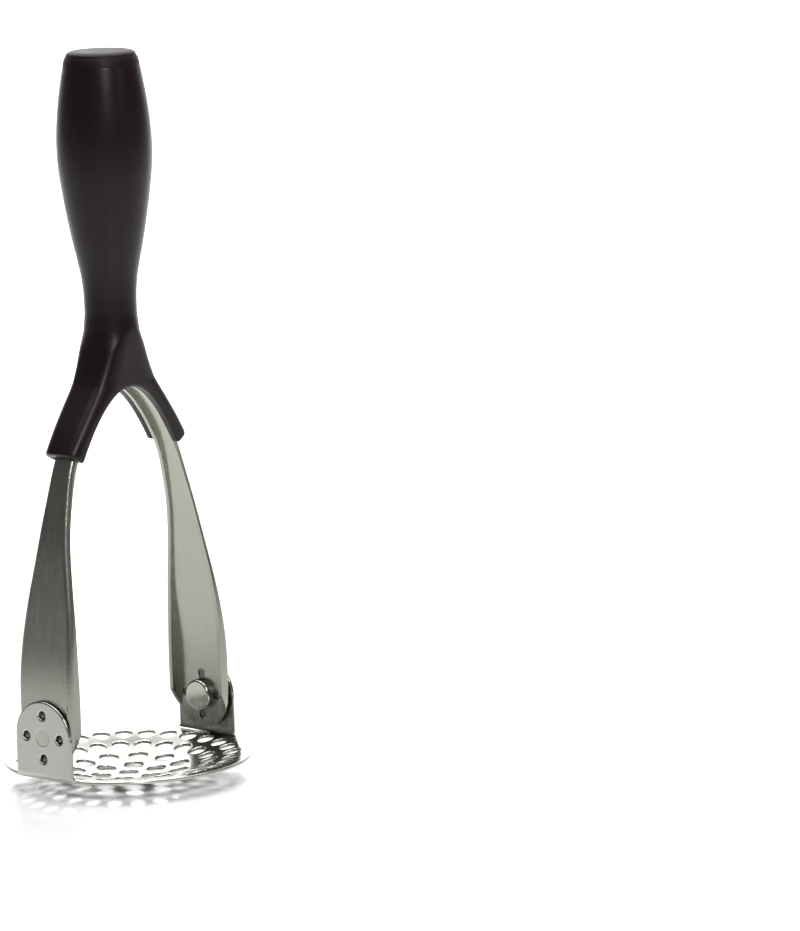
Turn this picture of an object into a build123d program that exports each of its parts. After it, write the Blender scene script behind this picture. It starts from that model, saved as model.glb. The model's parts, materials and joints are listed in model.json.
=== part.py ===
from build123d import *
import math
import os

# Folding masher: a perforated dished plate hung between the two arms of a steel
# yoke, with a moulded handle over the yoke's crown.
# Frame: millimetres, +Z up, origin on the table under the middle of the plate.
# The fold axis runs along X; the handle stands on the Z axis.

# ---------------------------------------------------------------- dimensions
PLATE_D = 90.0            # rim diameter of the mashing plate
PLATE_T = 1.2             # plate and ear sheet
DISH_TOP = [(0.0, 1.2), (9.0, 1.2), (14.0, 1.85), (19.2, 2.85), (29.0, 4.75),
            (37.5, 7.0), (42.0, 7.75), (45.0, 8.05), (48.0, 8.3)]  # radius, height of upper face
HOLE_RINGS = [  # count, pitch radius, hole diameter, first angle
    (1, 0.0, 7.0, 0.0),
    (6, 10.6, 7.0, 32.6),
    (11, 19.1, 6.9, 97.3),
    (22, 29.0, 6.0, 64.7),
    (28, 37.5, 6.0, 57.75),
]
EAR_KEEPOUT = 40.6        # holes whose edge would pass this X are left out under the ears
EAR_IN, EAR_OUT = 43.1, 44.3   # X of the inner and outer faces of an ear
EAR_R = 13.0              # ear half width and round top
PIVOT_Z = 22.5            # height of the fold axis
DETENT_R = 7.9            # pitch radius of the four detent holes
DETENT_HOLE = 3.3
SLOT_START = 4.2          # radius where the blade slots of the arm begin
PIN_D = 5.5               # pivot pin
PIN_HOLE_EAR = 5.64

STRAP_T = 1.5             # yoke sheet
ARM_OUT = 42.6            # X of the arm's outer face at the joint
TAB_R = 12.6              # round end of an arm
ARM_CURVE = [(28.7, 118.6), (32.25, 107.0), (35.15, 95.0), (37.2, 83.0), (38.95, 71.0),
             (40.55, 59.0), (41.7, 50.0), (42.42, 42.0), (42.6, 37.0), (42.6, 32.0)]   # outer face, X and Z
ARM_WIDTH = [(22.5, 12.6), (29.0, 12.72), (36.0, 12.75), (47.0, 12.6), (59.0, 11.9), (71.0, 10.35),
             (83.0, 8.35), (95.0, 6.65), (107.0, 5.45), (113.0, 5.0), (119.0, 4.75), (132.0, 4.75), (150.0, 4.75)]
CROTCH_Z = 143.1          # underside of the arch between the legs
ARCH_K = 26.0             # arch: z = CROTCH_Z - x*x/ARCH_K
FLANGE_TOP = 3.3          # channel depth inside the handle
FLANGE_LOW = 5.0          # channel depth low on the arms

BARREL = [(167.0, 9.45), (171.0, 9.43), (175.0, 9.47), (179.0, 9.72), (183.0, 10.2), (187.0, 10.95),
          (191.0, 11.8), (195.0, 12.65), (199.0, 13.42), (203.0, 14.13), (207.0, 14.8), (211.0, 15.43),
          (215.0, 16.0), (219.0, 16.5), (223.0, 16.85), (227.0, 17.02), (231.0, 17.03), (235.0, 16.86),
          (239.0, 16.55), (243.0, 16.12), (247.0, 15.59), (251.0, 14.96), (255.0, 14.26), (258.0, 13.68)]
CAP_SEAM_Z = 258.0
TOP_Z = 263.1
LEG_OUT = [(9.45, 172.0), (9.55, 168.0), (10.1, 163.0), (11.0, 159.0), (12.3, 155.0), (13.9, 151.0),
           (15.9, 147.0), (18.2, 143.0), (20.9, 139.0), (23.5, 135.0), (26.0, 131.0),
           (28.4, 127.0), (31.1, 122.4)]
LEG_END_IN = 25.1
LEG_WIDTH = [(118.0, 7.75), (128.0, 8.1), (140.0, 8.6), (152.0, 9.0), (164.0, 9.4), (174.0, 9.6)]
ENVELOPE = [(174.0, 9.46), (168.0, 9.5), (163.0, 10.1), (158.0, 11.4), (153.0, 13.4), (148.0, 16.4),
            (142.0, 21.0), (134.0, 28.0), (124.0, 38.0), (112.0, 52.0)]
SKIN = 2.2                # soft overmould thickness
STUD_D = 6.0
SLOT_HALF = 4.8           # half width of the slot for the yoke


# ---------------------------------------------------------------- helpers
def interp(table, v):
    """Piecewise linear value of a table of (v, value)."""
    t = sorted(table)
    if v <= t[0][0]:
        return t[0][1]
    for (a, fa), (b, fb) in zip(t, t[1:]):
        if v <= b:
            return fa + (fb - fa) * (v - a) / (b - a)
    return t[-1][1]


def xz(points):
    return [Vector(x, 0, z) for x, z in points]


def yz(points):
    return [Vector(0, y, z) for y, z in points]


def slab_y(face, half):
    """Solid from a face in the XZ plane, thickened both ways along Y."""
    return Pos(0, -half, 0) * extrude(face, amount=2 * half, dir=(0, 1, 0))


def slab_x(face, half):
    """Solid from a face in the YZ plane, thickened both ways along X."""
    return Pos(-half, 0, 0) * extrude(face, amount=2 * half, dir=(1, 0, 0))


def rod_x(x0, x1, r, y=0.0, z=PIVOT_Z):
    """Cylinder along X between two X positions."""
    a, b = min(x0, x1), max(x0, x1)
    return Pos((a + b) / 2, y, z) * Rot(0, 90, 0) * Cylinder(r, b - a)


def rod_y(y0, y1, r, x, z):
    return Pos(x, (y0 + y1) / 2, z) * Rot(90, 0, 0) * Cylinder(r, abs(y1 - y0))


def revolve_z(points):
    """Solid of revolution about Z from (radius, z) points joined by lines."""
    p = [Vector(r, 0, z) for r, z in points]
    return revolve(make_face(Polyline(*p, close=True)), Axis.Z, 360)


def one(shape):
    """The single solid of a shape."""
    s = shape.solids()
    assert len(s) == 1, len(s)
    return s[0]


def first_solids(shape):
    return shape.solids()


def mirror_x(shape):
    return mirror(shape, about=Plane.YZ)


# ---------------------------------------------------------------- yoke curve
def outer_samples():
    """Right half of the yoke's outer face, from the crown down to the arm's end."""
    pts = []
    for i in range(0, 13):
        x = 2.0 * i
        z = CROTCH_Z - x * x / ARCH_K
        m = 2 * x / ARCH_K
        n = math.hypot(m, 1.0)
        pts.append((x + FLANGE_TOP * m / n, z + FLANGE_TOP / n))
    pts += ARM_CURVE
    return pts


def whole(pts):
    """Right half points joined to their mirror image."""
    return [(-x, z) for x, z in reversed(pts)][:-1] + [(max(x, 0.0) if i == 0 else x, z) for i, (x, z) in enumerate(pts)]


GUIDE = Spline(*xz(whole(outer_samples())))


def offset_points(depth, n=44):
    """Points at a depth inside the outer face. depth is a function of height."""
    out = []
    for i in range(n + 1):
        u = 0.5 + 0.5 * i / n
        p, t = GUIDE @ u, GUIDE % u
        d = depth(p.Z)
        # inward normal of a curve that runs down the right side
        nx, nz = t.Z, -t.X
        out.append((p.X + nx * d, p.Z + nz * d))
    return out


def band(depth0, depth1, low):
    """Closed U-shaped face between two depths, its arms run straight down to a height."""
    a = offset_points(depth0)
    b = offset_points(depth1)

    a[0], b[0] = (0.0, a[0][1]), (0.0, b[0][1])
    edges = [Spline(*xz(whole(a))), Spline(*xz(whole(b)))]
    for s in (-1, 1):
        pa, pb = (s * a[-1][0], a[-1][1]), (s * b[-1][0], b[-1][1])
        edges += [Line(*xz([pa, (pa[0], low)])), Line(*xz([pb, (pb[0], low)])),
                  Line(*xz([(pa[0], low), (pb[0], low)]))]
    return make_face(edges)


def flange_depth(z):
    return interp([(37.0, FLANGE_LOW), (42.0, 4.8), (50.0, 4.0), (59.0, 3.2), (71.0, 2.65), (83.0, 2.45),
                   (95.0, 2.45), (107.0, 2.6), (118.0, 3.0), (124.0, FLANGE_TOP)], z)


def arm_side(inset, top=152.0):
    """Side outline of the yoke in the YZ plane."""
    r = TAB_R - inset
    side = [(w - inset, z) for z, w in ARM_WIDTH[:-1]]
    up = Spline(*yz(side))
    down = Spline(*yz([(-y, z) for y, z in side]))
    ye, ze = side[-1]
    arc = ThreePointArc(*yz([(-r, PIVOT_Z), (0, PIVOT_Z - r), (r, PIVOT_Z)]))
    return make_face([arc, up, down, Line(*yz([(ye, ze), (ye, top)])), Line(*yz([(ye, top), (-ye, top)])),
                      Line(*yz([(-ye, top), (-ye, ze)]))])


# ---------------------------------------------------------------- yoke
low = PIVOT_Z - TAB_R - 1
shell = slab_y(band(lambda z: 0.0, flange_depth, low), 20) & slab_x(arm_side(0.0), 60)
shell = one(shell)


def bend_edges(shape):
    """The long edges where the arm's face turns into its flanges."""
    keep = []
    for e in shape.edges():
        c = e @ 0.5
        w = interp(ARM_WIDTH, c.Z)
        if abs(abs(c.Y) - w) > 0.4 or c.Z < PIVOT_Z + 2:
            continue
        g = min(math.hypot((GUIDE @ (k / 60)).X - abs(c.X), (GUIDE @ (k / 60)).Z - c.Z) for k in range(30, 61))
        if g < 1.2 or (abs(abs(c.X) - 42.55) < 0.2 and c.Z < 45):
            if e.length > 5:
                keep.append(e)
    return keep


try:
    rounded = shell.fillet(1.9, bend_edges(shell))
    if rounded.is_valid and abs(rounded.volume) > 1000:
        shell = one(rounded)
        print("yoke bends rounded")
except Exception as err:  # the square bend is a usable fallback
    print("yoke bend fillet left out:", type(err).__name__)

hollow = slab_y(band(lambda z: STRAP_T, lambda z: flange_depth(z) + 3.0, low - 1), 20) & slab_x(arm_side(STRAP_T), 60)
yoke = shell - hollow
# flanges stop at the joint with a slanting cut and leave a flat round tab
inner = ARM_OUT - STRAP_T
relief = make_face(Polyline(*xz([(inner, PIVOT_Z - 5.2), (ARM_OUT - FLANGE_LOW - 0.2, PIVOT_Z + 1.6), (30, PIVOT_Z + 1.6),
                                 (30, 2), (inner, 2)]), close=True))
relief = slab_y(relief, 20)
yoke = yoke - relief - mirror_x(relief)
drill = rod_x(-60, 60, PIN_D / 2 + 0.35)
for k in range(4):
    a = math.radians(90 * k)
    cy, cz = math.cos(a), math.sin(a)
    drill = drill + rod_x(-60, 60, DETENT_HOLE / 2, DETENT_R * cy, PIVOT_Z + DETENT_R * cz)
    # slot from each detent hole towards the pin, for the spring's blade
    run, mid = DETENT_R - SLOT_START, (DETENT_R + SLOT_START) / 2
    for sx in (-1, 1):
        drill = drill + Pos(sx * ARM_OUT, cy * mid, PIVOT_Z + cz * mid) * Box(
            10, run if abs(cy) > 0.5 else 2.5, 2.5 if abs(cy) > 0.5 else run)
yoke = one(yoke - drill)

# ---------------------------------------------------------------- mashing plate
top_pts = [(r, z) for r, z in DISH_TOP]


def dish(radius_limit):
    ups = [Vector(r, 0, z) for r, z in top_pts[1:]]
    # the lower face is the upper one moved down by the sheet, square to the slope
    lows = []
    for i, (r, z) in enumerate(top_pts[1:]):
        lo, hi = top_pts[max(i, 0)], top_pts[min(i + 2, len(top_pts) - 1)]
        m = (hi[1] - lo[1]) / (hi[0] - lo[0]) if i else 0.0
        n = math.hypot(1, m)
        lows.append(Vector(r + PLATE_T * m / n, 0, z - PLATE_T / n))
    su = Spline(*ups)
    sl = Spline(*lows)
    face = make_face([su, sl, Line(Vector(0, 0, top_pts[0][1]), ups[0]), Line(Vector(0, 0, 0), lows[0]),
                      Line(Vector(0, 0, 0), Vector(0, 0, top_pts[0][1])), Line(ups[-1], lows[-1])])
    return Rot(0, 0, 77) * revolve(face, Axis.Z, 360)


disc = dish(48)
trim = Pos(0, 0, 5) * Cylinder(PLATE_D / 2, 30)
ear_zone = Pos(0, 0, 5) * Box(2 * EAR_OUT, 2 * EAR_R, 30)
plate = disc & (trim + ear_zone) & (Pos(0, 0, 5) * Box(2 * EAR_OUT, 120, 40))
for s in (-1, 1):
    cx = s * (EAR_IN + EAR_OUT) / 2
    ear = Pos(cx, 0, (PIVOT_Z + 7.4) / 2) * Box(PLATE_T, 2 * EAR_R, PIVOT_Z - 7.4)
    ear = ear + (rod_x(s * EAR_IN, s * EAR_OUT, EAR_R))
    plate = plate + ear
plate = one(plate)


def corner_edges(shape, x, tol, zlo, zhi):
    out = []
    for e in shape.edges():
        c = e @ 0.5
        if abs(abs(c.X) - x) < tol and zlo < c.Z < zhi and abs(c.Y) < 2 and e.length > 15:
            out.append(e)
    return out


for x, r in ((EAR_IN, 1.6), (EAR_OUT, 2.4)):
    try:
        found = corner_edges(plate, x, 0.15, 5.5, 9.5)
        got = plate.fillet(r, found)
        if got.is_valid and len(found) == 2:
            plate = one(got)
            print("ear bend", x, "rounded")
        else:
            print("ear bend", x, len(found), got.is_valid)
    except Exception as err:
        print("ear bend", x, "left square:", type(err).__name__)

cutters = []
for n, r, d, a0 in HOLE_RINGS:
    for k in range(n):
        a = math.radians(a0 + 360.0 / max(n, 1) * k)
        x, y = r * math.cos(a), r * math.sin(a)
        cutters.append(Pos(x, y, 4) * Cylinder(d / 2, 20))
holes = Part() + cutters
keep_low = Pos(0, 0, 4) * Box(2 * (EAR_IN - 1.4), 120, 20)
plate = plate - (holes & keep_low)
drill = rod_x(-60, 60, PIN_HOLE_EAR / 2)
for k in range(4):
    a = math.radians(90 * k)
    drill = drill + rod_x(-60, 60, DETENT_HOLE / 2, DETENT_R * math.cos(a), PIVOT_Z + DETENT_R * math.sin(a))
plate = plate - drill
for s in (-1, 1):
    # countersink for the flared end of the pivot pin
    cone = Pos(s * (EAR_OUT - 0.2), 0, PIVOT_Z) * Rot(0, 90 * s, 0) * Cone(PIN_HOLE_EAR / 2, PIN_HOLE_EAR / 2 + 0.4, 0.4)
    plate = plate - cone
plate = one(plate)

# ---------------------------------------------------------------- hinge parts (right side, mirrored for the left)
# pivot pin: flared flush in the ear, shank through the arm, round head inside
pin = rod_x(39.35, EAR_OUT, PIN_D / 2)
pin = pin + Pos(EAR_OUT - 0.2, 0, PIVOT_Z) * Rot(0, 90, 0) * Cone(PIN_D / 2, PIN_D / 2 + 0.36, 0.4)
pin = pin + rod_x(39.35, 40.2, 4.0)
pin = one(pin)

# nylon bush: sleeve in the arm's hole, thin flange between arm and ear
bush = rod_x(41.1, 43.02, PIN_D / 2 + 0.33) + rod_x(42.62, 43.02, 5.4)
bush = one(bush - rod_x(40, 44, PIN_D / 2 + 0.02))

# small steel washer under the pin's head
head_washer = one(rod_x(40.22, 40.52, 3.9) - rod_x(40, 41, PIN_D / 2 + 0.03))

# detent spring: hub on the pin, four blades stepped down into the arm's slots,
# a domed stud at the end of each
spring = rod_x(40.55, 41.05, 4.3)
for k in range(4):
    a = math.radians(90 * k)
    cy, cz = math.cos(a), math.sin(a)

    def blade(x0, x1, r0, r1, w=2.0):
        return Pos((x0 + x1) / 2, cy * (r0 + r1) / 2, PIVOT_Z + cz * (r0 + r1) / 2) * Box(
            x1 - x0, (r1 - r0) if abs(cy) > 0.5 else w, w if abs(cy) > 0.5 else (r1 - r0))

    spring = spring + blade(40.55, 41.9, 4.0, 4.75) + blade(41.4, 41.9, 4.3, DETENT_R)
    stud = rod_x(41.4, 42.95, 1.25, DETENT_R * cy, PIVOT_Z + DETENT_R * cz)
    dome = Pos(42.95, DETENT_R * cy, PIVOT_Z + DETENT_R * cz) * Sphere(1.25)
    spring = spring + stud + dome
spring = spring - (rod_x(41.06, 42.3, 4.25))
spring = one(spring - rod_x(40, 41.5, PIN_D / 2 + 0.03))

# polished cap over the head: a thin cup seated on the arm
cap = rod_x(38.0, 41.06, 5.65)
face_edges = [e for e in cap.edges() if abs((e @ 0.5).X - 38.0) < 0.01]
cap = cap.fillet(0.9, face_edges)
cap = one(cap - rod_x(39.1, 42, 5.0))

# ---------------------------------------------------------------- handle
# front view of the fork: outside of the legs and the arch between them
arch = [(x, CROTCH_Z - x * x / ARCH_K) for x in [(LEG_END_IN + 3.0) * k / 12 for k in range(-12, 13)]]


def fork_outer(skin):
    """Right side of the fork's front outline, set in by skin."""
    o = []
    for i, (x, z) in enumerate(LEG_OUT):
        a, b = LEG_OUT[max(i - 1, 0)], LEG_OUT[min(i + 1, len(LEG_OUT) - 1)]
        tx, tz = b[0] - a[0], b[1] - a[1]
        n = math.hypot(tx, tz)
        o.append((x + skin * tz / n, z - skin * tx / n))
    return o


def fork_face(skin, inner_end):
    """Front outline of the fork before the arch is cut, its legs ending square."""
    o = fork_outer(skin)
    right = Spline(*xz(o))
    left = Spline(*xz([(-x, z) for x, z in o]))
    return make_face([right, left, Line(*xz([o[-1], inner_end])),
                      Line(*xz([(-inner_end[0], inner_end[1]), inner_end])),
                      Line(*xz([(-o[-1][0], o[-1][1]), (-inner_end[0], inner_end[1])])),
                      Line(*xz([(-o[0][0], o[0][1]), o[0]]))])


def under(points, low_z):
    """Everything under a curve that opens downward, as a cutting solid."""
    curve = Spline(*xz(points))
    a, b = points[0], points[-1]
    face = make_face([curve, Line(*xz([a, (a[0], low_z)])), Line(*xz([b, (b[0], low_z)])),
                      Line(*xz([(a[0], low_z), (b[0], low_z)]))])
    return slab_y(face, 30)


def fork_side(inset):
    s = [(w - inset, z) for z, w in LEG_WIDTH]
    z0, z1 = 112.0, 172.0
    up = Spline(*yz([(s[0][0] - 0.1, z0)] + s))
    down = Spline(*yz([(-s[0][0] + 0.1, z0)] + [(-y, z) for y, z in s]))
    return make_face([up, down, Line(up @ 0, down @ 0), Line(up @ 1, down @ 1)])


def envelope(inset):
    pts = [Vector(r - inset, 0, z) for z, r in ENVELOPE]
    s = Spline(*pts)
    face = make_face([s, Line(Vector(0, 0, ENVELOPE[0][0]), pts[0]), Line(Vector(0, 0, ENVELOPE[-1][0]), pts[-1]),
                      Line(Vector(0, 0, ENVELOPE[-1][0]), Vector(0, 0, ENVELOPE[0][0]))])
    return revolve(face, Axis.Z, 360)


def barrel(inset, z1):
    pts = [Vector(r - inset, 0, z) for z, r in BARREL if z <= z1]
    s = Spline(*pts)
    face = make_face([s, Line(Vector(0, 0, BARREL[0][0]), pts[0]), Line(Vector(0, 0, pts[-1].Z), pts[-1]),
                      Line(Vector(0, 0, BARREL[0][0]), Vector(0, 0, pts[-1].Z))])
    return revolve(face, Axis.Z, 360)


end_in = (LEG_END_IN, CROTCH_Z - LEG_END_IN * LEG_END_IN / ARCH_K)
fork = slab_y(fork_face(0.0, end_in), 14) & slab_x(fork_side(0.0), 50)
fork = one(fork - under(arch, 100.0))
for radius, pick in ((2.8, lambda e, c: e.length > 30 and abs(c.X) > 12 and abs(c.Y) > 6),
                     (1.2, lambda e, c: e.length > 30 and abs(c.X) < 3 and abs(c.Y) > 6 and c.Z < 150)):
    soft = [e for e in fork.edges() if pick(e, e @ 0.5)]
    try:
        got = fork.fillet(radius, soft)
        if got.is_valid:
            fork = one(got)
            print("fork edges rounded", radius, len(soft))
    except Exception as err:
        print("fork edges left square:", radius, type(err).__name__, len(soft))
body = (fork & envelope(0.0)) + barrel(0.0, 258.0)
body = one(body)

# strap slot through both legs and the crown
slot = slab_y(band(lambda z: -0.3, lambda z: flange_depth(z) + 6.0, 100.0), SLOT_HALF) & (Pos(0, 0, 140) * Box(80, 12, 60))
# rigid core inside the overmould, above the yoke
core_in = [(x, z) for x, z in offset_points(lambda z: -0.05) if x < 29.5]
core_in = [(-x, z) for x, z in reversed(core_in)][:-1] + core_in
core_end = [p for p in core_in if p[0] < 26.0][-1]
core_fork = slab_y(fork_face(SKIN, core_end), 14) & slab_x(fork_side(SKIN + 0.6), 50) & envelope(SKIN)
core = one(core_fork - under(core_in, 100.0) + barrel(SKIN, 258.0))
grip = one(body - core - slot)

# bore for the tang, chamber for its nut, seat for the end cap
CHAMBER_Z = 236.0
core = core - Pos(0, 0, 200) * Cylinder(STUD_D / 2 + 0.15, 130)
core = core - Pos(0, 0, CHAMBER_Z + 15) * Cylinder(7.2, 30)
core = core - Pos(0, 0, 146.4) * Cylinder(4.6, 5.2)
screw_at = [(-7.0, 204.0), (7.0, 204.0), (-8.5, 228.0), (8.5, 228.0)]
for x, z in screw_at:
    core = core - rod_y(-6.0, 6.4, 1.5, x, z) - rod_y(-14.5, -4.78, 2.8, x, z)
front = core & (Pos(0, -25, 190) * Box(80, 50, 160))
back = core & (Pos(0, 25, 190) * Box(80, 50, 160))

screws = []
for x, z in screw_at:
    s = rod_y(-4.8, 6.2, 1.45, x, z) + rod_y(-6.6, -4.8, 2.7, x, z)
    s = s - Pos(x, -6.4, z) * Box(3.4, 1.4, 0.8)
    screws.append(one(s))

stud = Pos(0, 0, (146.45 + 247.0) / 2) * Cylinder(STUD_D / 2, 247.0 - 146.45)
stud = stud + Pos(0, 0, 146.45 + 1.1) * Cylinder(4.4, 2.2)
stud = one(stud)
washer = one(Pos(0, 0, CHAMBER_Z + 0.6) * Cylinder(6.6, 1.2) - Pos(0, 0, CHAMBER_Z) * Cylinder(STUD_D / 2 + 0.2, 6))
lock = Pos(0, 0, CHAMBER_Z + 1.9) * Cylinder(5.1, 1.4) - Pos(0, 0, CHAMBER_Z) * Cylinder(STUD_D / 2 + 0.2, 8)
lock = one(lock - Pos(4.5, 0, CHAMBER_Z + 1.9) * Rot(12, 0, 0) * Box(4, 0.8, 6))
nut = extrude(RegularPolygon(5.0, 6, major_radius=False), amount=5.0)
nut = Pos(0, 0, CHAMBER_Z + 2.6) * nut
nut = one(nut - Pos(0, 0, CHAMBER_Z + 5) * Cylinder(STUD_D / 2 + 0.02, 10))

# end cap: flat top with a soft shoulder, plugged into the chamber
p = [Vector(13.68, 0, 258.0), Vector(13.48, 0, 259.0), Vector(13.22, 0, 260.0), Vector(12.8, 0, 261.1),
     Vector(12.0, 0, 262.15), Vector(10.9, 0, 262.8), Vector(9.6, 0, TOP_Z)]
shoulder = Spline(*p)
face = make_face([shoulder, Line(p[-1], Vector(0, 0, TOP_Z)),
                  Line(Vector(0, 0, TOP_Z), Vector(0, 0, 250.0)), Line(Vector(0, 0, 250.0), Vector(7.1, 0, 250.0)),
                  Line(Vector(7.1, 0, 250.0), Vector(7.1, 0, 258.0)), Line(Vector(7.1, 0, 258.0), Vector(13.68, 0, 258.0))])
end_cap = revolve(face, Axis.Z, 360)
end_cap = one(end_cap - Pos(0, 0, 250.0) * Cylinder(5.4, 12.0))

# ---------------------------------------------------------------- write
nodes = {
    "mash_plate": plate,
    "yoke_strap": yoke,
    "pivot_pin_right": pin,
    "pivot_pin_left": mirror_x(pin),
    "pivot_bush_right": bush,
    "pivot_bush_left": mirror_x(bush),
    "head_washer_right": head_washer,
    "head_washer_left": mirror_x(head_washer),
    "detent_spring_right": spring,
    "detent_spring_left": mirror_x(spring),
    "hinge_cap_right": cap,
    "hinge_cap_left": mirror_x(cap),
    "tang_stud": stud,
    "tang_washer": washer,
    "tang_lock_washer": lock,
    "tang_nut": nut,
    "core_half_front": one(front),
    "core_half_back": one(back),
    "core_screws": Compound(children=screws),
    "handle_grip": grip,
    "end_cap": end_cap,
}
os.makedirs("parts", exist_ok=True)
for name, shape in nodes.items():
    b = shape.bounding_box()
    print(name, "solids", len(shape.solids()), "valid", shape.is_valid, "vol %.0f" % shape.volume,
          "box", [round(v, 2) for v in (b.min.X, b.min.Y, b.min.Z, b.max.X, b.max.Y, b.max.Z)])
    export_step(shape, f"parts/{name}.step")
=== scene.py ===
import json
import math

import bpy
import numpy as np
from mathutils import Matrix, Vector


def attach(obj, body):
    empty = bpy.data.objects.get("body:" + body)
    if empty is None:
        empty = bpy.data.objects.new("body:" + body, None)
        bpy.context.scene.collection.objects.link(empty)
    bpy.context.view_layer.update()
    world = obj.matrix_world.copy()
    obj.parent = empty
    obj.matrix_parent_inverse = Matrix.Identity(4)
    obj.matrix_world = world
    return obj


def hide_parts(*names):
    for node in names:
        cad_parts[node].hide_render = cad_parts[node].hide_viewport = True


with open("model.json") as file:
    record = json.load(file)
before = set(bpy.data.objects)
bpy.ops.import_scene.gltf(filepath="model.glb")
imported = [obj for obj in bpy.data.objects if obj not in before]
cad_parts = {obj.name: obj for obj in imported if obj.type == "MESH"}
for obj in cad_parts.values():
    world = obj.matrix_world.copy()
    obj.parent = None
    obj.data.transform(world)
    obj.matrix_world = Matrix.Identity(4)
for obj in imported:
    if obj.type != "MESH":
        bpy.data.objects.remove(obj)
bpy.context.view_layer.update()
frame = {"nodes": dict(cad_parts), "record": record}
nodes = frame["nodes"]


# ------------------------------------------------------------------ shared sizes, mm
PIVOT_Z = 22.5
DETENT_R = 7.9
EAR_IN, EAR_OUT, EAR_R = 43.1, 44.3, 13.0
DISH_TOP = [(0.0, 1.2), (9.0, 1.2), (14.0, 1.85), (19.2, 2.85), (29.0, 4.75),
            (37.5, 7.0), (42.0, 7.75), (45.0, 8.05), (48.0, 8.3)]
HOLE_RINGS = [(1, 0.0, 7.0, 0.0), (6, 10.6, 7.0, 32.6), (11, 19.1, 6.9, 97.3), (22, 29.0, 6.0, 64.7), (28, 37.5, 6.0, 57.75)]
CROTCH_Z, ARCH_K = 143.1, 26.0
BARREL = [(160.0, 9.75), (167.0, 9.45), (171.0, 9.43), (175.0, 9.47), (179.0, 9.72), (183.0, 10.2), (187.0, 10.95),
          (191.0, 11.8), (195.0, 12.65), (199.0, 13.42), (203.0, 14.13), (207.0, 14.8), (211.0, 15.43),
          (215.0, 16.0), (219.0, 16.5), (223.0, 16.85), (227.0, 17.02), (231.0, 17.03), (235.0, 16.86),
          (239.0, 16.55), (243.0, 16.12), (247.0, 15.59), (251.0, 14.96), (255.0, 14.26), (258.0, 13.68), (262.0, 12.8)]
LEG_OUT = [(9.45, 172.0), (9.55, 168.0), (10.1, 163.0), (11.0, 159.0), (12.3, 155.0), (13.9, 151.0),
           (15.9, 147.0), (18.2, 143.0), (20.9, 139.0), (23.5, 135.0), (26.0, 131.0),
           (28.4, 127.0), (31.1, 122.4)]
LEG_WIDTH = [(112.0, 7.6), (118.0, 7.75), (128.0, 8.1), (140.0, 8.65), (152.0, 9.2), (164.0, 10.0), (174.0, 10.6)]
ENVELOPE = [(174.0, 9.46), (168.0, 9.5), (163.0, 10.1), (158.0, 11.4), (153.0, 13.4), (148.0, 16.4),
            (142.0, 21.0), (134.0, 28.0), (124.0, 38.0), (112.0, 52.0)]
FLANGE_TOP = 3.3
SKIN = 2.2


# ------------------------------------------------------------------ curves
class Curve:
    """Natural cubic through (u, v) pairs, with its slope; straight beyond the ends."""

    def __init__(self, pairs):
        p = sorted(pairs)
        self.x = np.array([a for a, _ in p], float)
        self.y = np.array([b for _, b in p], float)
        n = len(self.x)
        h = np.diff(self.x)
        a = np.zeros((n, n))
        r = np.zeros(n)
        a[0, 0] = a[-1, -1] = 1.0
        for i in range(1, n - 1):
            a[i, i - 1], a[i, i], a[i, i + 1] = h[i - 1], 2 * (h[i - 1] + h[i]), h[i]
            r[i] = 6 * ((self.y[i + 1] - self.y[i]) / h[i] - (self.y[i] - self.y[i - 1]) / h[i - 1])
        self.m = np.linalg.solve(a, r)
        g = np.linspace(self.x[0], self.x[-1], 1200)
        self.g, self.v = g, self._value(g)
        self.s = np.gradient(self.v, g)

    def _value(self, t):
        i = np.clip(np.searchsorted(self.x, t) - 1, 0, len(self.x) - 2)
        h = self.x[i + 1] - self.x[i]
        a, b = self.x[i + 1] - t, t - self.x[i]
        return (self.m[i] * a ** 3 + self.m[i + 1] * b ** 3) / (6 * h) + (self.y[i] / h - self.m[i] * h / 6) * a + (
            self.y[i + 1] / h - self.m[i + 1] * h / 6) * b

    def __call__(self, t):
        out = np.interp(t, self.g, self.v)
        low, high = t < self.g[0], t > self.g[-1]
        return out + np.where(low, (t - self.g[0]) * self.s[0], 0) + np.where(high, (t - self.g[-1]) * self.s[-1], 0)

    def slope(self, t):
        return np.interp(t, self.g, self.s)


def smax(a, b, k):
    """Intersection with a round edge of radius k."""
    u = np.maximum(k + a, 0.0)
    v = np.maximum(k + b, 0.0)
    return np.minimum(np.maximum(a, b), -k) + np.hypot(u, v)


def smin(a, b, k):
    return -smax(-a, -b, k)


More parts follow.
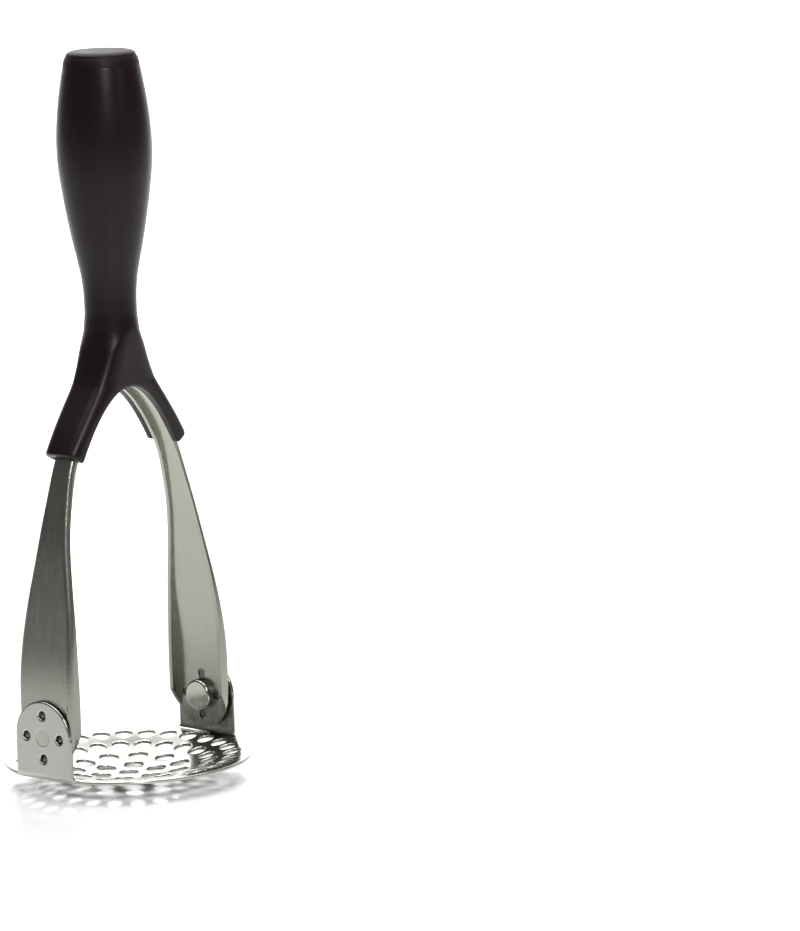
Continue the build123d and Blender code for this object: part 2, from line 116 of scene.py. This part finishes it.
# ------------------------------------------------------------------ meshing
def nets(field, lo, hi, h, newton=3, keep=0.6):
    """Closed quad mesh of field < 0, its points pulled onto the surface. Sizes in mm."""
    lo = np.array(lo, float)
    n = np.ceil((np.array(hi, float) - lo) / h).astype(int) + 1
    ax = [lo[i] + h * np.arange(n[i]) for i in range(3)]
    val = np.empty(n)
    for i, x in enumerate(ax[0]):
        yy, zz = np.meshgrid(ax[1], ax[2], indexing="ij")
        val[i] = field(np.full_like(yy, x), yy, zz)
    val[val == 0] = 1e-9
    inside = val < 0
    cells = n - 1
    acc = np.zeros(tuple(cells) + (3,), np.float32)
    cnt = np.zeros(tuple(cells), np.int8)

    def cut(off):
        return tuple(slice(off[i], off[i] + cells[i]) for i in range(3))

    for a in range(3):
        u, v = [i for i in range(3) if i != a]
        for du in (0, 1):
            for dv in (0, 1):
                o0 = [0, 0, 0]
                o0[u], o0[v] = du, dv
                o1 = list(o0)
                o1[a] = 1
                m = inside[cut(o0)] != inside[cut(o1)]
                v0, v1 = val[cut(o0)][m], val[cut(o1)][m]
                p = np.tile(np.array(o0, float), (len(v0), 1))
                p[:, a] += v0 / (v0 - v1)
                acc[m] += p
                cnt[m] += 1
    mask = cnt > 0
    index = np.full(tuple(cells), -1, np.int64)
    index[mask] = np.arange(mask.sum())
    pts = lo + h * (np.argwhere(mask) + acc[mask] / cnt[mask][:, None])
    quads = []
    for a in range(3):
        u, v = (a + 1) % 3, (a + 2) % 3
        lo_s, hi_s = [slice(1, n[i] - 1) for i in range(3)], [slice(1, n[i] - 1) for i in range(3)]
        lo_s[a], hi_s[a] = slice(0, n[a] - 1), slice(1, n[a])
        s0, s1 = inside[tuple(lo_s)], inside[tuple(hi_s)]
        g = np.argwhere(s0 != s1)
        if not len(g):
            continue
        start = s0[tuple(g.T)]
        g = g + np.array([0 if i == a else 1 for i in range(3)])

        def cell(du, dv):
            c = g.copy()
            c[:, u] -= du
            c[:, v] -= dv
            return index[tuple(c.T)]

        q = np.stack([cell(1, 1), cell(0, 1), cell(0, 0), cell(1, 0)], 1)
        q[~start] = q[~start][:, ::-1]
        quads.append(q)
    quads = np.concatenate(quads)
    home = pts.copy()
    e = 0.02
    for _ in range(newton):
        f = field(*pts.T)
        grad = np.stack([field(*(pts + e * np.eye(3)[i]).T) - field(*(pts - e * np.eye(3)[i]).T) for i in range(3)], 1) / (2 * e)
        pts = pts - (f / np.maximum((grad ** 2).sum(1), 0.25))[:, None] * grad
        move = pts - home
        d = np.linalg.norm(move, axis=1)
        pts = home + move * np.minimum(1, keep * h / np.maximum(d, 1e-9))[:, None]
    return pts, quads


def mesh_piece(name, pts, faces, body, replace=()):
    """Pts in mm, faces as an array; a smooth shaded object in the frame's metres."""
    me = bpy.data.meshes.new(name)
    faces = np.asarray(faces)
    k = faces.shape[1]
    me.vertices.add(len(pts))
    me.vertices.foreach_set("co", (np.asarray(pts) / 1000.0).astype(np.float32).ravel())
    me.loops.add(faces.size)
    me.loops.foreach_set("vertex_index", faces.astype(np.int32).ravel())
    me.polygons.add(len(faces))
    me.polygons.foreach_set("loop_start", np.arange(0, faces.size, k, dtype=np.int32))
    me.update(calc_edges=True)
    me.validate()
    me.polygons.foreach_set("use_smooth", np.ones(len(me.polygons), bool))
    ob = bpy.data.objects.new(name, me)
    bpy.context.scene.collection.objects.link(ob)
    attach(ob, body)
    if replace:
        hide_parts(*replace)
    return ob


# ------------------------------------------------------------------ handle grip
barrel_r, leg_x = Curve(BARREL), Curve([(z, x) for x, z in LEG_OUT])
leg_w, env_r = Curve(LEG_WIDTH), Curve(ENVELOPE)


def arch_distance():
    """Distance of (x, z) to the arch's line, looked up on a fine flat grid; positive above the arch."""
    t = np.linspace(-40, 40, 1601)
    line = np.stack([t, CROTCH_Z - t * t / ARCH_K], 1)
    gx, gz = np.arange(0, 34.01, 0.4), np.arange(96, 176.01, 0.4)
    xx, zz = np.meshgrid(gx, gz, indexing="ij")
    d = np.full(xx.shape, 1e9)
    for a, b in zip(line[:-1], line[1:]):
        w = b - a
        s = np.clip(((xx - a[0]) * w[0] + (zz - a[1]) * w[1]) / (w @ w), 0, 1)
        d = np.minimum(d, np.hypot(xx - a[0] - s * w[0], zz - a[1] - s * w[1]))
    d = np.where(zz > CROTCH_Z - xx * xx / ARCH_K, d, -d)

    def look(x, z):
        x = np.clip(np.abs(x), 0, 33.99)
        z = np.clip(z, 96, 175.99)
        i, j = (x / 0.4).astype(int), ((z - 96) / 0.4).astype(int)
        i, j = np.minimum(i, len(gx) - 2), np.minimum(j, len(gz) - 2)
        fx, fz = x / 0.4 - i, (z - 96) / 0.4 - j
        return (d[i, j] * (1 - fx) * (1 - fz) + d[i + 1, j] * fx * (1 - fz)
                + d[i, j + 1] * (1 - fx) * fz + d[i + 1, j + 1] * fx * fz)

    return look


arch_d = arch_distance()


def handle_shape(x, y, z, inset, round_out, arch_lift, end_inset):
    ax, ay, r = np.abs(x), np.abs(y), np.hypot(x, y)
    db = (r - barrel_r(z) + inset + 0.012 * np.maximum(168.0 - z, 0) ** 2) / np.sqrt(1 + barrel_r.slope(z) ** 2)
    bar = np.maximum(np.maximum(db, z - (258.5 if not inset else 258.0)), 150.0 - z)
    out = (ax - leg_x(z)) / np.sqrt(1 + leg_x.slope(z) ** 2) + inset
    side = ay - leg_w(z) + inset * (1.27 if inset else 1.0)
    env = (r - env_r(z)) / np.sqrt(1 + env_r.slope(z) ** 2) + inset + 1.3 * np.clip((z - 165.0) / 7.0, 0, 1) ** 1.5
    arch = arch_lift - arch_d(x, z)
    end = (ax - 31.1) * 0.507 - (z - 122.4) * 0.862 + end_inset
    fork = smax(out, side, round_out)
    fork = smax(fork, arch, 1.0 if not inset else 0.3)
    fork = smax(fork, end, 0.9 if not inset else 0.3)
    fork = smax(fork, env, 0.15 + 6.0 * np.clip((165.0 - z) / 20.0, 0, 1) ** 1.4)
    fork = np.maximum(fork, z - 172.0)
    return smin(bar, fork, 0.8) if not inset else np.minimum(bar, fork)


def grip_field(x, y, z):
    f = handle_shape(x, y, z, 0.0, 4.3, 0.0, 0.0)
    core = handle_shape(x, y, z, SKIN, 1.4, FLANGE_TOP + 0.05, 2.3)
    slot_cut = np.maximum(np.abs(y) - 4.8, arch_d(x, z) - FLANGE_TOP - 0.3)
    slot_cut = np.maximum(slot_cut, np.abs(x) - 33.0)
    slot_cut = np.maximum(slot_cut, z - 150.0)
    f = smax(f, -slot_cut, 0.25)
    return np.maximum(f, -core)


step = 0.5
pts, quads = nets(grip_field, (-32.2, -18.1, 117.6), (32.3, 18.2, 259.4), step)
pts[:, 2] = np.minimum(pts[:, 2], 258.5)
grip = mesh_piece("grip_moulding", pts, quads, "frame", ["handle_grip"])



# ------------------------------------------------------------------ end cap, turned about Z
def lathe(profile, turns):
    """Closed mesh from a closed (radius, z) profile; points on the axis become one vertex."""
    pts, rows, faces = [], [], []
    for r, z in profile:
        if r < 1e-6:
            rows.append([len(pts)] * turns)
            pts.append((0.0, 0.0, z))
        else:
            rows.append(list(range(len(pts), len(pts) + turns)))
            pts += [(r * math.cos(2 * math.pi * k / turns), r * math.sin(2 * math.pi * k / turns), z) for k in range(turns)]
    for a, b in zip(rows[:-1], rows[1:]):
        for k in range(turns):
            n = (k + 1) % turns
            q = [a[k], a[n], b[n], b[k]]
            q = [v for i, v in enumerate(q) if v not in q[:i]]
            if len(q) >= 3:
                faces.append(q)
    return pts, faces


shoulder = Curve([(258.0, 13.68), (259.0, 13.46), (260.0, 13.18), (261.0, 12.72), (261.8, 12.15)])
cap_line = [(0.0, 252.0), (5.3, 252.0), (5.4, 250.2), (5.6, 250.0), (6.9, 250.0), (7.1, 250.2), (7.1, 258.0), (7.1, 258.56),
            (12.9, 258.56), (13.3, 258.5), (13.6, 258.16), (13.66, 258.08), (13.70, 258.06)]
cap_line += [(float(shoulder(z)) + 0.05, float(z)) for z in np.linspace(258.12, 261.4, 12)]
c_r, c_z, e_r = float(shoulder(261.4)) + 0.05, 261.4, 2.6
for a in np.linspace(0.12, 1, 12):
    w = a * math.pi / 2 * 0.98
    cap_line.append((c_r - e_r * (1 - math.cos(w)), c_z + 1.62 * math.sin(w)))
cap_line += [(9.2, 263.06), (8.0, 263.08), (5.0, 263.1), (2.0, 263.1), (0.0, 263.1)]
pts, faces = lathe(cap_line, 96)
me = bpy.data.meshes.new("cap_moulding")
me.from_pydata([(x / 1000, y / 1000, z / 1000) for x, y, z in pts], [], faces)
me.validate()
me.update()
me.polygons.foreach_set("use_smooth", np.ones(len(me.polygons), bool))
cap_top = bpy.data.objects.new("cap_moulding", me)
bpy.context.scene.collection.objects.link(cap_top)
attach(cap_top, "frame")
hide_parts("end_cap")

# ------------------------------------------------------------------ mashing plate
flat = [(-6.0, 1.2), (-3.0, 1.2), (0.0, 1.2), (3.0, 1.2), (6.0, 1.2)]
dish_top = Curve([(-a, b) for a, b in DISH_TOP[1:]] + flat + DISH_TOP[1:])
hole_at = []
for count, ring, dia, a0 in HOLE_RINGS:
    for k in range(count):
        a = math.radians(a0 + 360.0 / count * k)
        hole_at.append((ring * math.cos(a), ring * math.sin(a), dia / 2))


def near_hole(x, y):
    """Signed distance to the nearest drilled hole, negative inside it."""
    d = np.full(np.shape(x), 50.0)
    for hx, hy, hr in hole_at:
        d = np.minimum(d, np.hypot(x - hx, y - hy) - hr)
    return d


def plate_field(x, y, z):
    ax, ay, r = np.abs(x), np.abs(y), np.hypot(x, y)
    m = np.sqrt(1 + dish_top.slope(np.minimum(r, 45.0)) ** 2)
    top = (dish_top(np.minimum(r, 47.0)) - z) / m
    outer = smax(top - 1.2, ax - EAR_OUT, 2.3)
    inner = smax(top, ax - EAR_IN, 1.6)
    sheet = smax(outer, -inner, 0.22)
    plan = smin(r - 45.0, np.maximum(ay - EAR_R, 30.0 - ax), 1.2)
    crown = np.where(z > PIVOT_Z, np.hypot(y, z - PIVOT_Z) - EAR_R, -50.0 + 0 * z)
    sheet = smax(sheet, np.maximum(plan, crown), 0.3)
    low = z < 9.5
    hole = near_hole(x, y)
    sheet = np.where(low, smax(sheet, -hole, 0.32), sheet)
    ring = np.hypot(y, z - PIVOT_Z)
    bore = np.minimum(ring - 2.82, 50.0)
    for k in range(4):
        a = math.radians(90 * k)
        bore = np.minimum(bore, np.hypot(y - DETENT_R * math.cos(a), z - PIVOT_Z - DETENT_R * math.sin(a)) - 1.65)
    return np.where(low | (ax < 42.0), sheet, smax(sheet, -bore, 0.18))


step = 0.36
pts, quads = nets(plate_field, (-46.1, -46.3, -0.9), (46.2, 46.2, 36.6), step)
plate = mesh_piece("plate_stamping", pts, quads, "plate", ["mash_plate"])


# ------------------------------------------------------------------ materials
def new_material(name):
    m = bpy.data.materials.new(name)
    m.use_nodes = True
    t = m.node_tree
    return m, t, t.nodes["Principled BSDF"]


def add(t, kind, **values):
    n = t.nodes.new(kind)
    for k, v in values.items():
        setattr(n, k, v)
    return n


def noise(t, vector, scale, detail=4.0, rough=0.6, stretch=None):
    if stretch is not None:
        mp = add(t, "ShaderNodeMapping")
        mp.inputs["Scale"].default_value = stretch
        t.links.new(vector, mp.inputs["Vector"])
        vector = mp.outputs["Vector"]
    n = add(t, "ShaderNodeTexNoise")
    n.inputs["Scale"].default_value = scale
    n.inputs["Detail"].default_value = detail
    n.inputs["Roughness"].default_value = rough
    t.links.new(vector, n.inputs["Vector"])
    return n.outputs["Fac"]


def ramp(t, fac, stops):
    n = add(t, "ShaderNodeValToRGB")
    cr = n.color_ramp
    while len(cr.elements) < len(stops):
        cr.elements.new(0.5)
    for e, (pos, val) in zip(cr.elements, stops):
        e.position = pos
        e.color = (*val, 1.0) if hasattr(val, "__len__") else (val, val, val, 1.0)
    t.links.new(fac, n.inputs["Fac"])
    return n.outputs["Color"]


def remap(t, fac, lo, hi, a=0.3, b=0.7):
    n = add(t, "ShaderNodeMapRange")
    n.inputs["From Min"].default_value = a
    n.inputs["From Max"].default_value = b
    n.inputs["To Min"].default_value = lo
    n.inputs["To Max"].default_value = hi
    t.links.new(fac, n.inputs["Value"])
    return n.outputs["Result"]


def bump(t, height, strength, distance, normal=None):
    n = add(t, "ShaderNodeBump")
    n.inputs["Strength"].default_value = strength
    n.inputs["Distance"].default_value = distance
    t.links.new(height, n.inputs["Height"])
    if normal is not None:
        t.links.new(normal, n.inputs["Normal"])
    return n.outputs["Normal"]


def coords(t):
    return add(t, "ShaderNodeTexCoord").outputs["Object"]


def brushed(name, dark, light, rough_lo, rough_hi, stretch, strength=0.12):
    m, t, b = new_material(name)
    c = coords(t)
    streak = noise(t, c, 420, 6, 0.7, stretch)
    cloud = noise(t, c, 34, 3, 0.5)
    mix = add(t, "ShaderNodeMath", operation="MULTIPLY_ADD")
    mix.inputs[1].default_value = 0.6
    t.links.new(streak, mix.inputs[0])
    part = add(t, "ShaderNodeMath", operation="MULTIPLY")
    part.inputs[1].default_value = 0.4
    t.links.new(cloud, part.inputs[0])
    t.links.new(part.outputs[0], mix.inputs[2])
    t.links.new(ramp(t, mix.outputs[0], [(0.3, dark), (0.7, light)]), b.inputs["Base Color"])
    t.links.new(remap(t, streak, rough_lo, rough_hi), b.inputs["Roughness"])
    t.links.new(bump(t, streak, strength, 0.0001), b.inputs["Normal"])
    b.inputs["Metallic"].default_value = 1.0
    return m


def polished(name, tint, rough_lo, rough_hi, scratch=0.05):
    m, t, b = new_material(name)
    c = coords(t)
    cloud = noise(t, c, 60, 5, 0.6)
    fine = noise(t, c, 900, 3, 0.6, (1.0, 0.25, 1.0))
    t.links.new(ramp(t, cloud, [(0.25, [0.93 * v for v in tint]), (0.75, tint)]), b.inputs["Base Color"])
    t.links.new(remap(t, cloud, rough_lo, rough_hi), b.inputs["Roughness"])
    t.links.new(bump(t, fine, scratch, 0.00005), b.inputs["Normal"])
    b.inputs["Metallic"].default_value = 1.0
    return m


def plastic(name, dark, light, rough_lo, rough_hi, grain, strength, distance, spec=0.5):
    m, t, b = new_material(name)
    c = coords(t)
    cloud = noise(t, c, 45, 4, 0.6)
    fine = noise(t, c, grain, 2, 0.5)
    t.links.new(ramp(t, cloud, [(0.3, dark), (0.7, light)]), b.inputs["Base Color"])
    t.links.new(remap(t, cloud, rough_lo, rough_hi), b.inputs["Roughness"])
    t.links.new(bump(t, fine, strength, distance), b.inputs["Normal"])
    b.inputs["Specular IOR Level"].default_value = spec
    return m


mats = {
    "plate_steel": polished("plate_steel", (0.450, 0.446, 0.412), 0.15, 0.21, 0.02),
    "brushed_arm": brushed("brushed_arm", (0.335, 0.333, 0.292), (0.360, 0.358, 0.314), 0.23, 0.29, (1.0, 1.0, 0.04), 0.008),
    "pin_steel": brushed("pin_steel", (0.40, 0.40, 0.355), (0.45, 0.45, 0.40), 0.22, 0.30, (0.2, 0.2, 0.2), 0.01),
    "polished_cap": polished("polished_cap", (0.52, 0.52, 0.46), 0.12, 0.20),
    "spring_steel": brushed("spring_steel", (0.12, 0.12, 0.108), (0.19, 0.19, 0.172), 0.25, 0.4, (1.0, 0.3, 0.3)),
    "hardware_steel": brushed("hardware_steel", (0.42, 0.42, 0.42), (0.60, 0.60, 0.60), 0.28, 0.42, (1.0, 1.0, 0.5)),
    "nylon": plastic("nylon", (0.62, 0.60, 0.54), (0.74, 0.72, 0.66), 0.4, 0.5, 1500, 0.1, 0.0001),
    "core_plastic": plastic("core_plastic", (0.03, 0.028, 0.028), (0.05, 0.045, 0.045), 0.45, 0.55, 1800, 0.2, 0.0001),
    "soft_grip": plastic("soft_grip", (0.0062, 0.0020, 0.0022), (0.0095, 0.0034, 0.0037), 0.30, 0.37, 3200, 0.12, 0.0001, 0.26),
    "gloss_cap": plastic("gloss_cap", (0.0062, 0.0020, 0.0022), (0.0095, 0.0034, 0.0037), 0.44, 0.52, 3200, 0.10, 0.0001, 0.20),
}
slot_of = {s["node"]: s["material_slot"] for s in frame["record"]["subparts"]}
for name, ob in nodes.items():
    ob.data.materials.clear()
    ob.data.materials.append(mats[slot_of[name]])
grip.data.materials.append(mats["soft_grip"])
cap_top.data.materials.append(mats["gloss_cap"])
plate.data.materials.append(mats["plate_steel"])


# ------------------------------------------------------------------ stage
def stage_mesh(name, verts, faces, mat, smooth=True):
    me = bpy.data.meshes.new(name)
    me.from_pydata(verts, [], faces)
    me.update()
    me.polygons.foreach_set("use_smooth", np.full(len(me.polygons), smooth, bool))
    ob = bpy.data.objects.new(name, me)
    bpy.context.scene.collection.objects.link(ob)
    ob.data.materials.append(mat)
    return ob


view_back = Vector((-0.755552930427741, -0.6316135453664448, 0.1737932640572793))
far = Vector((-view_back.x, -view_back.y, 0)).normalized()
across = Vector((far.y, -far.x, 0))

m_floor, t, b = new_material("floor_white")
c = coords(t)
t.links.new(ramp(t, noise(t, c, 3, 3, 0.5), [(0.3, 0.80), (0.7, 0.82)]), b.inputs["Base Color"])
t.links.new(remap(t, noise(t, c, 12, 3, 0.5), 0.09, 0.12), b.inputs["Roughness"])
b.inputs["Specular IOR Level"].default_value = 0.5
profile = [(-2.6, 0.0)] + [(2.2 + 0.9 * math.sin(a), 0.9 - 0.9 * math.cos(a)) for a in np.linspace(0, math.pi / 2, 14)] + [(3.1, 3.2)]
verts, faces = [], []
for u, z in profile:
    for w in (-3.2, 3.2):
        p = far * u + across * w
        verts.append((p.x, p.y, z))
for i in range(len(profile) - 1):
    faces.append((2 * i, 2 * i + 1, 2 * i + 3, 2 * i + 2))
stage_mesh("floor_sweep", verts, faces, m_floor)

# ------------------------------------------------------------------ light
world = bpy.data.worlds.new("studio")
bpy.context.scene.world = world
world.use_nodes = True
world.node_tree.nodes["Background"].inputs["Color"].default_value = (0.96, 0.98, 1.0, 1)
world.node_tree.nodes["Background"].inputs["Strength"].default_value = 0.14


def softbox(name, at, look, size, power, colour=(1, 1, 1)):
    d = bpy.data.lights.new(name, "AREA")
    d.shape = "RECTANGLE"
    d.size, d.size_y = size
    d.energy = power
    d.color = colour
    ob = bpy.data.objects.new(name, d)
    ob.location = at
    ob.rotation_euler = (Vector(look) - Vector(at)).to_track_quat("-Z", "Y").to_euler()
    bpy.context.scene.collection.objects.link(ob)
    return ob


softbox("top", (0.1, 0.1, 1.9), (0, 0, 0.1), (2.2, 2.2), 50)
softbox("backdrop_wash", tuple(far * 1.2 + Vector((0, 0, 2.2))), tuple(far * 2.9 + Vector((0, 0, 0.7))), (3.0, 1.2), 140)
softbox("front_right", tuple(-far * 1.0 + across * 1.5 + Vector((0, 0, 1.2))), (0, 0, 0.15), (0.3, 1.3), 2.5)

softbox("over_camera", tuple(-far * 1.7 + across * 0.45 + Vector((0, 0, 1.25))), (0, 0, 0.18), (0.30, 0.8), 15)

# ------------------------------------------------------------------ camera
cam_data = bpy.data.cameras.new("camera")
cam_data.sensor_fit = "HORIZONTAL"
cam_data.sensor_width = 36.0
cam_data.lens = 251.3030626905821
cam_data.clip_start, cam_data.clip_end = 0.1, 30.0
cam_data.dof.use_dof = False
cam = bpy.data.objects.new("camera", cam_data)
right = Vector((0.6370017749370862, -0.7702752294211541, -0.030080054308296102))
up = Vector((0.15286761609005012, 0.08797954449653793, 0.9843226562977847))
cam.matrix_world = Matrix.Translation((-1.4472051092232818, -1.3419825592620944, 0.45854316941389467)) @ Matrix(
    (right, up, view_back)).transposed().to_4x4()
bpy.context.scene.collection.objects.link(cam)
bpy.context.scene.camera = cam
bpy.context.scene.view_settings.view_transform = "Standard"
bpy.context.scene.view_settings.look = "None"
